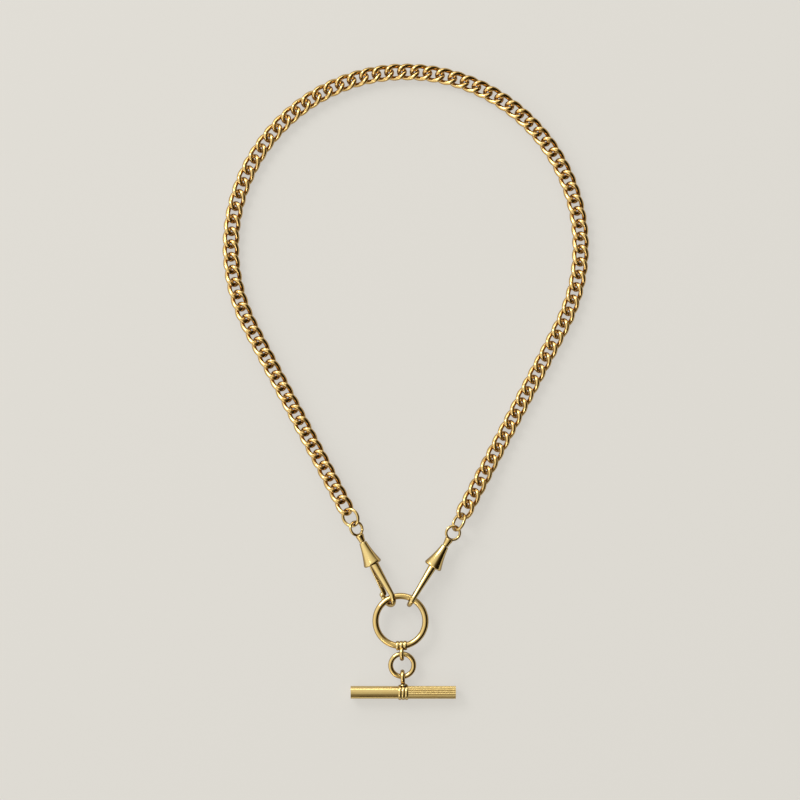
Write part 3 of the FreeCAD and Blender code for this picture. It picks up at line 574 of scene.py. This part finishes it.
# ------------------------------------------------------------------------------------ curb chain
@dataclass
class CurbChain:
    """All curb links: ovals of round wire, each twisted about its long axis."""

    half_length: float = 2.795
    half_width: float = 1.875
    wire: float = 1.4
    twist: float = -104.0
    side_ease: float = 3.4
    path_steps: int = 48
    wire_steps: int = 16

    def link_tree(self) -> bpy.types.NodeTree:
        """Geometry tree: a twisted oval link on every seed point."""
        tree, source = geometry_tree("curb_link", {
            "Half Width": "Float", "Flat": "Float", "Side Ease": "Float", "Turn Rate": "Float",
            "Wire Radius": "Float", "Path Steps": "Int", "Wire Steps": "Int"})

        path = add_node(tree, "GeometryNodeCurvePrimitiveCircle", inputs={
            "Resolution": source.outputs["Path Steps"], "Radius": 1.0})
        spot = add_node(tree, "GeometryNodeInputPosition")
        split = add_node(tree, "ShaderNodeSeparateXYZ", inputs={0: spot.outputs[0]})
        width = source.outputs["Half Width"]
        ramp = calc(tree, "MULTIPLY", split.outputs[0], source.outputs["Side Ease"])
        held = calc(tree, "MAXIMUM", calc(tree, "MINIMUM", ramp, 1.0), -1.0)
        shift = calc(tree, "MULTIPLY", held, source.outputs["Flat"])
        along = calc(tree, "ADD", calc(tree, "MULTIPLY", split.outputs[0], width), shift)
        across = calc(tree, "MULTIPLY", split.outputs[1], width)
        angle = calc(tree, "MULTIPLY", along, source.outputs["Turn Rate"])
        twisted = add_node(tree, "ShaderNodeCombineXYZ", inputs={
            0: along, 1: calc(tree, "MULTIPLY", across, calc(tree, "COSINE", angle)),
            2: calc(tree, "MULTIPLY", across, calc(tree, "SINE", angle))})
        oval = add_node(tree, "GeometryNodeSetPosition", inputs={
            "Geometry": path.outputs[0], "Position": twisted.outputs[0]})
        section = add_node(tree, "GeometryNodeCurvePrimitiveCircle", inputs={
            "Resolution": source.outputs["Wire Steps"], "Radius": source.outputs["Wire Radius"]})
        wire = add_node(tree, "GeometryNodeCurveToMesh", inputs={
            "Curve": oval.outputs[0], "Profile Curve": section.outputs[0]})
        end_tree(tree, source, copies(tree, source, wire.outputs[0]))
        return tree

    def dress(self, material: bpy.types.Material) -> None:
        """Grow the links of every chain node in place of its CAD solids."""
        tree = self.link_tree()
        sizes = {"Half Width": self.half_width * MM,
                 "Flat": (self.half_length - self.half_width) * MM,
                 "Side Ease": self.side_ease,
                 "Turn Rate": math.radians(self.twist) / 2 / (self.half_length * MM),
                 "Wire Radius": self.wire / 2 * MM,
                 "Path Steps": self.path_steps, "Wire Steps": self.wire_steps}
        for node in sorted(frame["nodes"]):
            if node.startswith("chain_"):
                seeds = seed_points(node, solid_frames(node))
                piece = grow("gold_" + node, tree, seeds, sizes, material)
                settle(piece, "curb_links", node)


# --------------------------------------------------------------------------------- swivel clips
@dataclass
class SwivelClip:
    """Bell, swivel eye, hook and sprung gate of one clip, in the clip's own frame."""

    side: Side
    eye_radius: float = 2.1
    eye_wire: float = 0.85
    eye_reach: float = 4.6
    eye_roll: float = 0.0
    neck_root: float = 1.3
    neck_tip: float = 1.0
    shank: float = 0.5
    shank_length: float = 2.7
    bell_length: float = 7.6
    bell_small: float = 1.18
    bell_large: float = 2.8
    seat: float = 2.16
    hook_reach: float = 10.7
    crown_radius: float = 2.6
    leg_offset: float = 0.8
    leg_radius: float = 1.3
    tip_radius: float = 0.8
    tip_length: float = 1.2
    bead_radius: float = 0.88
    gate_width: float = 1.5
    gate_thick: float = 0.7
    gate_clear: float = 1.03
    pin_depth: float = 0.6
    pin_offset: float = 1.0
    gate_short: float = 0.25
    ridge_pitch: float = 0.42
    ridge_depth: float = 0.09
    grip_reach: float = 3.2

    def place(self) -> Matrix:
        """Clip frame from its joints: X towards the hook, Z towards the hook's leg."""
        turn = joint_named("eye_turn_" + self.side.value)
        gate = joint_named("gate_" + self.side.value)
        along, across = Vector(turn["axis"]), -Vector(gate["axis"])
        upward = along.cross(across)
        rotation = Matrix((along, across, upward)).transposed().to_4x4()
        return Matrix.Translation(Vector(turn["pos_m"]) - along * MM) @ rotation

    def build_bell(self, material: bpy.types.Material) -> bpy.types.Object:
        """Flared bell with a rolled rim and a hollow inside."""
        rim, large = self.bell_length, self.bell_large
        flank = bezier([(0.25, self.bell_small), (2.4, 1.47), (4.6, 2.02),
                        (rim - 0.85, large - 0.03)], 22)
        roll = arc((rim - 0.65, large - 0.6), 0.6, 104, 4, 12)
        outline = arc((0.25, self.bell_small - 0.25), 0.25, 180, 90, 5)[:-1] + flank
        outline += roll + [(rim - 0.05, self.seat + 0.04)]
        outline += [(rim - 1.45, self.seat + 0.04), (rim - 1.45, self.seat - 0.24),
                    (2.3, 1.03), (2.3, self.shank + 0.08), (0.0, self.shank + 0.08)]
        return lathe("gold_bell_" + self.side.value, outline, material, self.place(), 96)

    def build_eye(self, ring_tree: bpy.types.NodeTree,
                  material: bpy.types.Material) -> bpy.types.Object:
        """Swivel eye: wire ring on a tapered neck with a rivet shank."""
        node = "swivel_eye_" + self.side.value
        place = self.place()
        middle = place @ Matrix.Translation((-self.eye_reach * MM, 0, 0))
        roll = Matrix.Rotation(math.radians(self.eye_roll), 4, "X")
        ring = WireRing(node, "clip_hooks", self.eye_radius, self.eye_wire, 64, 20)
        ring_piece = ring.build(ring_tree, material, middle @ roll)
        root = self.eye_radius - self.eye_reach
        outline = [(root - 0.16, 0.0), (root - 0.16, 0.55)]
        outline += arc((root + 0.3, self.neck_root - 0.34), 0.32, 165, 90, 6)
        outline += bezier([(root + 0.5, self.neck_root - 0.05), (root + 1.0, 1.12),
                           (root + 1.5, 1.0), (-0.36, self.neck_tip - 0.04)], 12)
        outline += arc((-0.3, self.neck_tip - 0.2), 0.17, 90, 0, 5)
        outline += [(-0.09, self.neck_tip - 0.4), (-0.09, self.shank)]
        outline += [(self.shank_length, self.shank), (self.shank_length, 0.0)]
        neck = lathe(node + "_neck", outline, material, place, 48)
        return join("gold_" + node, [ring_piece, neck])

    def hook_path(self) -> tuple[list[Vector], list[float]]:
        """Middle line and radius of the hook's wire from the bell to the tip."""
        bend = self.bell_length + self.hook_reach
        start = self.bell_length - 0.65
        reach = bend - start
        slope = math.asin(self.crown_radius / math.hypot(reach, self.leg_offset))
        slope -= math.atan2(self.leg_offset, reach)
        run = math.sqrt(reach ** 2 + self.leg_offset ** 2 - self.crown_radius ** 2)
        path, radii = [], []
        steps = 26
        for step in range(steps):
            share = step / steps
            path.append(Vector((start + run * share * math.cos(slope), 0,
                                self.leg_offset + run * share * math.sin(slope))))
            radii.append(self.leg_radius + (self.tip_radius - self.leg_radius) * share ** 0.9)
        turns = 30
        for step in range(turns + 1):
            angle = math.pi / 2 + slope - (math.pi + slope) * step / turns
            path.append(Vector((bend + self.crown_radius * math.cos(angle), 0,
                                self.crown_radius * math.sin(angle))))
            radii.append(self.tip_radius)
        bead = bend - self.tip_length
        for step in range(1, 6):
            share = step / 5
            path.append(Vector((bend - self.tip_length * share * 0.6, 0, -self.crown_radius)))
            radii.append(self.tip_radius)
        for step in range(13):
            angle = math.radians(38 + (180 - 38) * step / 12)
            path.append(Vector((bead + self.bead_radius * math.cos(angle), 0, -self.crown_radius)))
            radii.append(max(self.bead_radius * math.sin(angle), 0.002))
        return path, radii

    def build_hook(self, material: bpy.types.Material) -> bpy.types.Object:
        """Hook with its domed root that closes the bell."""
        path, radii = self.hook_path()
        place = self.place()
        wire = tube("hook_wire", path, radii, material, place, 32)
        back = self.bell_length - 1.26
        front = self.bell_length - 0.3
        outline = [(back, 0.0), (back, self.seat - 0.02), (front, self.seat - 0.02)]
        outline += bezier([(front + 0.05, self.seat - 0.1), (front + 0.2, self.seat - 0.35),
                           (front + 0.28, 0.9), (front + 0.28, 0.0)], 12)
        root = lathe("hook_root", outline, material, place, 72)
        return join("gold_hook_" + self.side.value, [wire, root])

    def build_gate(self, material: bpy.types.Material) -> bpy.types.Object:
        """Sprung gate: rounded bar with a thumb grip of cross ridges and a hinge barrel."""
        place = self.place()
        level = -(self.crown_radius - self.gate_clear - self.gate_thick / 2)
        pivot = self.bell_length - self.pin_depth
        end = self.bell_length + self.hook_reach - self.tip_length - self.gate_short
        half_w, half_t = self.gate_width / 2, self.gate_thick / 2
        length = end + half_w - pivot
        points, faces = [], []
        along_steps, around = 150, 28
        for step in range(along_steps + 1):
            share = step / along_steps
            x = pivot + length * share
            tip = max(0.0, (x - end) / half_w)
            width = half_w * math.sqrt(max(1 - tip ** 2, 0.0004))
            grip = math.exp(-((x - pivot - length * 0.5) / self.grip_reach) ** 4)
            wave = math.cos((x - pivot) * 2 * math.pi / self.ridge_pitch)
            ridge = self.ridge_depth * grip * (0.5 + 0.5 * wave)
            for turn in range(around):
                angle = 2 * math.pi * turn / around
                c, s = math.cos(angle), math.sin(angle)
                y = math.copysign(abs(c) ** 0.55, c) * (width - ridge * 0.6)
                z = math.copysign(abs(s) ** 0.7, s) * (half_t - ridge)
                points.append((x, y, level + z))
        for step in range(along_steps):
            for turn in range(around):
                after = (turn + 1) % around
                base, ahead = step * around, (step + 1) * around
                faces.append((base + turn, base + after, ahead + after, ahead + turn))
        faces.append(tuple(range(around)))
        faces.append(tuple(range(len(points) - around, len(points))))
        bar = mesh_from("gate_bar", points, faces, material, place)
        side_on = Matrix.Translation(Vector((pivot, 0, -self.pin_offset)) * MM)
        side_on = place @ side_on @ Matrix.Rotation(math.pi / 2, 4, "Z")
        outline = [(-half_w, 0.34), (-half_w, 0.56), (-half_w + 0.06, 0.62),
                   (half_w - 0.06, 0.62), (half_w, 0.56), (half_w, 0.34)]
        barrel = lathe("gate_barrel", outline, material, side_on, 36)
        return join("gold_gate_" + self.side.value, [bar, barrel])

    def dress(self, ring_tree: bpy.types.NodeTree, finishes: Finishes) -> None:
        """Build the clip and put its pieces in place of the CAD nodes."""
        side = self.side.value
        settle(self.build_bell(finishes.turned), "clip_bells", "bell_" + side)
        settle(self.build_eye(ring_tree, finishes.rings), "clip_hooks", "swivel_eye_" + side)
        settle(self.build_hook(finishes.turned), "clip_hooks", "hook_" + side)
        settle(self.build_gate(finishes.turned), "clip_hooks", "gate_" + side)
        for node in ("swivel_washer_", "gate_pin_", "gate_spring_"):
            paint_node(node + side, finishes.steel)


def paint_node(node: str, material: bpy.types.Material) -> None:
    """Give a carried-over CAD node its finish."""
    piece = frame["nodes"][node]
    piece.data.materials.clear()
    piece.data.materials.append(material)
    LOG.info("%s keeps its CAD shape", node)


# ----------------------------------------------------------------------------------- drop, T-bar
def bead_outline(length: float, bore: float, radius: float, beads: int,
                 steps: int = 10) -> list[tuple[float, float]]:
    """Outline of a sleeve of round beads between two thin collars."""
    half = length / beads / 2
    outline = [(-length / 2, bore)]
    for bead in range(beads):
        middle = -length / 2 + half * (2 * bead + 1)
        for step in range(steps + 1):
            angle = math.pi * (1 - step / steps)
            swell = math.sin(angle) ** 0.6
            outline.append((middle + half * math.cos(angle) * 0.97,
                            bore + 0.03 + (radius - bore - 0.03) * swell))
    outline.append((length / 2, bore))
    return outline


@dataclass
class Drop:
    """Centre ring with its collar and loop, drop ring, and T-bar with its collar and loop."""

    ring_radius: float = 7.58
    ring_wire: float = 1.92
    ring_collar_length: float = 3.4
    ring_collar_radius: float = 1.45
    eyelet_radius: float = 1.65
    eyelet_wire: float = 1.35
    drop_radius: float = 3.52
    drop_wire: float = 1.5
    bar_length: float = 32.0
    bar_radius: float = 1.95
    bar_collar_length: float = 3.05
    bar_collar_radius: float = 2.34
    reeds: int = 18
    reed_depth: float = 0.17
    plain_depth: float = 0.012
    end_ease: float = 0.035
    swing_gap: float = 0.1

    def dress_rings(self, ring_tree: bpy.types.NodeTree, finishes: Finishes) -> None:
        """Centre ring and drop ring."""
        WireRing("ring", "rings", self.ring_radius, self.ring_wire, 160, 40).dress(
            ring_tree, finishes.rings)
        WireRing("drop_ring", "rings", self.drop_radius, self.drop_wire, 120, 36).dress(
            ring_tree, finishes.rings)

    def directions(self) -> tuple[Vector, Vector]:
        """Directions across the drop and up the drop, both level."""
        across = Vector(joint_named("drop_ring_swing")["axis"])
        return across, UP.cross(across).normalized()

    def loop_place(self, pivot: Vector, sign: float) -> Matrix:
        """Frame of an upright loop: Z along the drop's cross axis, X up the drop.

        Args:
            pivot: where the loop and the drop ring hang in each other, in metres.
            sign: 1 for a loop above that place, -1 for one below it.

        Returns:
            The loop's frame.
        """
        across, upward = self.directions()
        hang = (self.eyelet_wire + self.drop_wire) / 2 + self.swing_gap
        middle = pivot + upward * sign * (self.eyelet_radius - hang) * MM
        turn = Matrix((upward, across.cross(upward), across))
        return Matrix.Translation(middle) @ turn.transposed().to_4x4()

    def eyelet(self, node: str, ring_tree: bpy.types.NodeTree, material: bpy.types.Material,
               place: Matrix) -> bpy.types.Object:
        """Small wire loop of a collar, without riding it yet."""
        wire = WireRing(node, "rings", self.eyelet_radius, self.eyelet_wire, 72, 28)
        return wire.build(ring_tree, material, place)

    def dress_ring_collar(self, ring_tree: bpy.types.NodeTree, finishes: Finishes) -> None:
        """Beaded collar on the centre ring and the loop under it."""
        across, upward = self.directions()
        turn = Matrix((across, upward, UP)).transposed().to_4x4()
        place = Matrix.Translation(box_middle("ring_collar")) @ turn
        outline = bead_outline(self.ring_collar_length, 1.13, self.ring_collar_radius, 3)
        collar = lathe("gold_ring_collar", outline, finishes.turned, place, 64)
        settle(collar, "rings", "ring_collar")
        pivot = Vector(joint_named("drop_ring_swing")["pos_m"])
        loop = self.eyelet("ring_loop", ring_tree, finishes.rings, self.loop_place(pivot, 1.0))
        settle(loop, "rings", "ring_loop")

    def bar_tree(self) -> bpy.types.NodeTree:
        """Geometry tree: reeded tube, its section a circle with reeds, swept along each half."""
        tree, source = geometry_tree("reeded_bar", {
            "Length": "Float", "Radius": "Float", "Reeds": "Float", "Depth": "Float",
            "Section Steps": "Int", "Edge": "Float"})

        section = add_node(tree, "GeometryNodeCurvePrimitiveCircle", inputs={
            "Resolution": source.outputs["Section Steps"], "Radius": 1.0})
        spot = add_node(tree, "GeometryNodeInputPosition")
        split = add_node(tree, "ShaderNodeSeparateXYZ", inputs={0: spot.outputs[0]})
        angle = calc(tree, "ARCTAN2", split.outputs[1], split.outputs[0])
        phase = calc(tree, "MULTIPLY", calc(tree, "MULTIPLY", angle, source.outputs["Reeds"]), 0.5)
        reed = calc(tree, "ABSOLUTE", calc(tree, "COSINE", phase))
        dip = calc(tree, "MULTIPLY", calc(tree, "SUBTRACT", 1.0, reed), source.outputs["Depth"])
        reach = calc(tree, "SUBTRACT", source.outputs["Radius"], dip)
        ribbed = add_node(tree, "ShaderNodeVectorMath", {"operation": "SCALE"}, {
            0: spot.outputs[0], "Scale": reach})
        outline = add_node(tree, "GeometryNodeSetPosition", inputs={
            "Geometry": section.outputs[0], "Position": ribbed.outputs[0]})
        half = calc(tree, "MULTIPLY", source.outputs["Length"], 0.5)
        start = add_node(tree, "ShaderNodeCombineXYZ", inputs={
            0: calc(tree, "MULTIPLY", half, -1.0)})
        end = add_node(tree, "ShaderNodeCombineXYZ", inputs={0: half})
        line = add_node(tree, "GeometryNodeCurvePrimitiveLine", inputs={
            "Start": start.outputs[0], "End": end.outputs[0]})
        rings = add_node(tree, "GeometryNodeResampleCurve", inputs={
            "Curve": line.outputs[0], "Count": 64})
        place = add_node(tree, "GeometryNodeInputPosition")
        along = add_node(tree, "ShaderNodeSeparateXYZ", inputs={0: place.outputs[0]})
        inset = calc(tree, "SUBTRACT", half, calc(tree, "ABSOLUTE", along.outputs[0]))
        share = calc(tree, "MINIMUM", calc(tree, "DIVIDE", inset, source.outputs["Edge"]), 1.0)
        eased_in = calc(tree, "MULTIPLY", share, self.end_ease)
        shrink = calc(tree, "ADD", 1.0 - self.end_ease, eased_in)
        eased = add_node(tree, "GeometryNodeSetCurveRadius", inputs={
            "Curve": rings.outputs[0], "Radius": shrink})
        bar = add_node(tree, "GeometryNodeCurveToMesh", inputs={
            "Curve": eased.outputs[0], "Profile Curve": outline.outputs[0], "Fill Caps": True})
        end_tree(tree, source, copies(tree, source, bar.outputs[0]))
        return tree

    def dress_bar(self, ring_tree: bpy.types.NodeTree, finishes: Finishes) -> None:
        """Reeded T-bar, its end plugs, its collar and the loop on its stem."""
        middle = box_middle("t_bar")
        tree = self.bar_tree()
        half = self.bar_length / 2
        for word, sign, depth in (("plain", -1, self.plain_depth), ("reeded", 1, self.reed_depth)):
            place = Matrix.Translation(middle + Vector((sign * half / 2 * MM, 0, 0)))
            sizes = {"Length": half * MM, "Radius": self.bar_radius * MM,
                     "Reeds": float(self.reeds), "Depth": depth * MM,
                     "Section Steps": self.reeds * 12, "Edge": 0.12 * MM}
            piece = grow("gold_t_bar_" + word, tree, seed_points("t_bar", [place]), sizes,
                         finishes.bar)
            nodes = ("t_bar", "t_bar_end_plugs") if sign > 0 else ("t_bar",)
            settle(piece, "t_bar_tube", *nodes)
        outline = bead_outline(self.bar_collar_length, self.bar_radius - 0.03,
                               self.bar_collar_radius, 3)
        place = Matrix.Translation(middle)
        collar = lathe("gold_t_bar_collar", outline, finishes.turned, place, 80)
        settle(collar, "rings", "t_bar_collar")
        self.dress_bar_loop(ring_tree, finishes, middle)

    def dress_bar_loop(self, ring_tree: bpy.types.NodeTree, finishes: Finishes,
                       middle: Vector) -> None:
        """Loop of the T-bar on a stem that flares onto the collar."""
        pivot = Vector(joint_named("t_bar_swing")["pos_m"])
        place = self.loop_place(pivot, -1.0)
        loop = self.eyelet("t_bar_loop", ring_tree, finishes.rings, place)
        centre = place.to_translation()
        foot = middle + Vector((0, (self.bar_collar_radius - 0.12) * MM, 0))
        root = centre - (centre - middle).normalized() * self.eyelet_radius * MM
        rise = root - foot
        along = rise.normalized()
        across = UP.cross(along).normalized()
        turn = Matrix((along, across, along.cross(across))).transposed().to_4x4()
        length = rise.length / MM
        outline = [(0.0, 0.0), (0.0, 1.25)]
        outline += bezier([(0.12, 1.2), (length * 0.45, 0.62), (length * 0.6, 0.6),
                           (length + 0.1, 0.66)], 12)
        outline += [(length + 0.1, 0.0)]
        stem = lathe("t_bar_stem", outline, finishes.turned, Matrix.Translation(foot) @ turn, 40)
        settle(join("gold_t_bar_loop", [loop, stem]), "rings", "t_bar_loop")


# ----------------------------------------------------------------------------------------- studio
@dataclass
class Studio:
    """Pale floor, soft lights and an overhead camera."""

    floor_colour: str = "#DFDCD5"
    view_width: float = 0.244
    camera_height: float = 1.25
    camera_x: float = -0.00175
    camera_y: float = -0.00558
    sensor: float = 36.0
    room_strength: float = 1.12
    floor_glow: float = 0.74
    room_level: float = 0.52
    room_side: float = -0.62
    room_back: float = 0.26

    def floor(self) -> None:
        """Pale light-table floor under the chain, partly lit from below so shadows stay faint."""
        mesh = bpy.data.meshes.new("floor")
        reach = 3.0
        mesh.from_pydata([(-reach, -reach, 0), (reach, -reach, 0), (reach, reach, 0),
                          (-reach, reach, 0)], [], [(0, 1, 2, 3)])
        floor = link_object("floor", mesh)
        floor.location.z = -0.0001
        material = bpy.data.materials.new("pale_paper")
        material.use_nodes = True
        shader = material.node_tree.nodes["Principled BSDF"]
        paper = linear(self.floor_colour)
        matt = [part * (1 - self.floor_glow) for part in paper[:3]] + [1.0]
        shader.inputs["Base Color"].default_value = matt
        shader.inputs["Emission Color"].default_value = paper
        shader.inputs["Emission Strength"].default_value = self.floor_glow
        shader.inputs["Roughness"].default_value = 0.9
        shader.inputs["Specular IOR Level"].default_value = 0.1
        mesh.materials.append(material)

    def light(self, name: str, place: Vector, target: Vector, size: tuple[float, float],
              power: float, colour: str) -> None:
        """One rectangular soft light aimed at a point.

        Args:
            name: name of the light.
            place: middle of the light, in metres.
            target: point it faces, in metres.
            size: its two sides, in metres.
            power: watts.
            colour: sRGB hex colour.
        """
        lamp = bpy.data.lights.new(name, "AREA")
        lamp.shape = "RECTANGLE"
        lamp.size, lamp.size_y = size
        lamp.energy = power
        lamp.color = linear(colour)[:3]
        item = bpy.data.objects.new(name, lamp)
        item.location = place
        item.rotation_mode = "QUATERNION"
        item.rotation_quaternion = (target - place).to_track_quat("-Z", "Y")
        bpy.context.scene.collection.objects.link(item)

    def lights(self) -> None:
        """Large soft box from the back left, two small ones for crisp lines, and the room."""
        aim = Vector((0, 0, 0))
        self.light("key_box", Vector((-0.75, 0.75, 0.85)), aim, (0.55, 0.55), 9.0, "#FFFFFF")
        self.light("back_box", Vector((0.1, 1.1, 0.55)), aim, (0.9, 0.16), 1.6, "#FFFFFF")
        self.light("front_strip", Vector((-0.5, -0.9, 0.6)), aim, (0.5, 0.1), 0.8, "#FFF9F0")
        self.room()

    def room(self) -> None:
        """Room whose walls are bright at the back left and fall to dark brown at the right."""
        world = bpy.data.worlds.new("room")
        world.use_nodes = True
        tree = world.node_tree
        tree.nodes.clear()
        way = add_node(tree, "ShaderNodeTexCoord")
        split = add_node(tree, "ShaderNodeSeparateXYZ", inputs={0: way.outputs["Generated"]})
        sideways = calc(tree, "MULTIPLY_ADD", split.outputs[0], self.room_side, self.room_level)
        brightness = calc(tree, "MULTIPLY_ADD", split.outputs[1], self.room_back, sideways)
        tone = add_node(tree, "ShaderNodeValToRGB", inputs={0: brightness})
        ramp = tone.color_ramp
        ramp.elements[0].position, ramp.elements[0].color = 0.08, linear("#1C160C")
        ramp.elements[1].position, ramp.elements[1].color = 0.9, linear("#FFFFFF")
        for share, colour in ((0.3, "#5E5440"), (0.5, "#CDCAC0")):
            ramp.elements.new(share).color = linear(colour)
        back = add_node(tree, "ShaderNodeBackground", inputs={
            "Color": tone.outputs[0], "Strength": self.room_strength})
        add_node(tree, "ShaderNodeOutputWorld", inputs={"Surface": back.outputs[0]})
        bpy.context.scene.world = world

    def camera(self) -> None:
        """Overhead camera, upright along +Y."""
        data = bpy.data.cameras.new("camera")
        data.sensor_width = self.sensor
        data.lens = self.sensor * self.camera_height / self.view_width
        data.clip_end = 10.0
        item = bpy.data.objects.new("camera", data)
        item.location = (self.camera_x, self.camera_y, self.camera_height)
        bpy.context.scene.collection.objects.link(item)
        bpy.context.scene.camera = item

    def build(self) -> None:
        """Build the whole studio."""
        self.floor()
        self.lights()
        self.camera()
        bpy.context.scene.view_settings.view_transform = "Standard"


def main() -> None:
    """Build every sub-assembly, then the studio."""
    logging.basicConfig(level=logging.INFO, format="%(name)s: %(message)s")
    finishes = Finishes()
    ring_tree = wire_ring_tree()
    CurbChain().dress(finishes.links)
    for side in Side:
        jump = WireRing("jump_ring_" + side.value, "jump_rings", JUMP_RADIUS, JUMP_WIRE, 72, 20)
        jump.dress(ring_tree, finishes.rings)
    for side in Side:
        SwivelClip(side, eye_roll=EYE_ROLL[side]).dress(ring_tree, finishes)
    drop = Drop()
    drop.dress_rings(ring_tree, finishes)
    drop.dress_ring_collar(ring_tree, finishes)
    drop.dress_bar(ring_tree, finishes)
    Studio().build()


if __name__ == "__main__":
    main()
